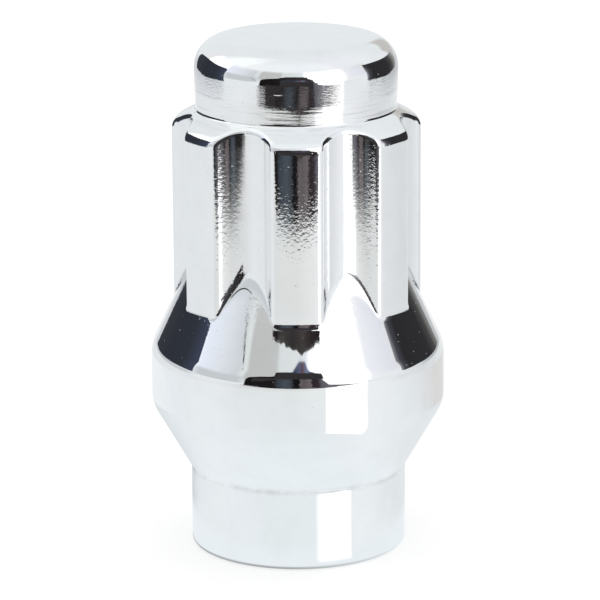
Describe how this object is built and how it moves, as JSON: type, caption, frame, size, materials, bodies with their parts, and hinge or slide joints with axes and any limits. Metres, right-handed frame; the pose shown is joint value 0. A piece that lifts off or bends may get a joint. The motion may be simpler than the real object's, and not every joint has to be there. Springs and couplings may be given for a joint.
{
  "type": "lug nut",
  "caption": "Closed-end wheel lug nut with a scalloped spline drive under a plain cap, a flared collar with a conical seat, and a short shank round a blind threaded bore.",
  "frame": {"origin": "middle of the shank's lower face, on the thread's axis", "axes": "+Z along the thread's axis from the open end to the closed cap; one land of the splines looks along -Y"},
  "size_m": [0.026, 0.0261, 0.046],
  "materials": {
    "chrome": "bright chrome plating, polished with faint plating texture"
  },
  "bodies": {
    "root": {"lug_nut": "chrome"}
  },
  "joints": []
}
